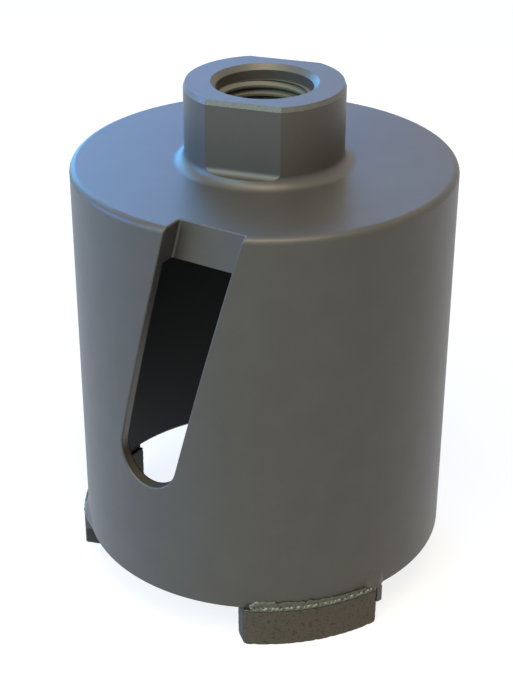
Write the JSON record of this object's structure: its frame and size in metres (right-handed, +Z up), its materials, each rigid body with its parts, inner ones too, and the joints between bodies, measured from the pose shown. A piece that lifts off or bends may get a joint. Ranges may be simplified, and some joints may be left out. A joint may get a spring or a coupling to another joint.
{
  "type": "core bit",
  "caption": "Dry core bit for socket boxes: slotted steel barrel, turned crown with threaded hub and wrench flats, brazed abrasive segments.",
  "frame": {"origin": "on the bit's axis, in the plane of the segments' cutting faces, where the bit stands", "axes": "+Z runs up the axis and out of the threaded hub; the two wrench flats face -Y and +Y; the slot opens towards -Y"},
  "size_m": [0.067, 0.0674, 0.0909],
  "materials": {
    "grey_paint": "satin grey metallic paint over a bead-blasted surface",
    "sintered_metal": "matt, gritty sintered metal with fine scratches",
    "silver_braze": "dull silver filler with an uneven bead, partly painted over"
  },
  "bodies": {
    "root": {"crown": "grey_paint", "barrel": "grey_paint", "segment_1": "sintered_metal", "segment_2": "sintered_metal", "segment_3": "sintered_metal", "braze_1": "silver_braze", "braze_2": "silver_braze", "braze_3": "silver_braze"}
  },
  "joints": []
}
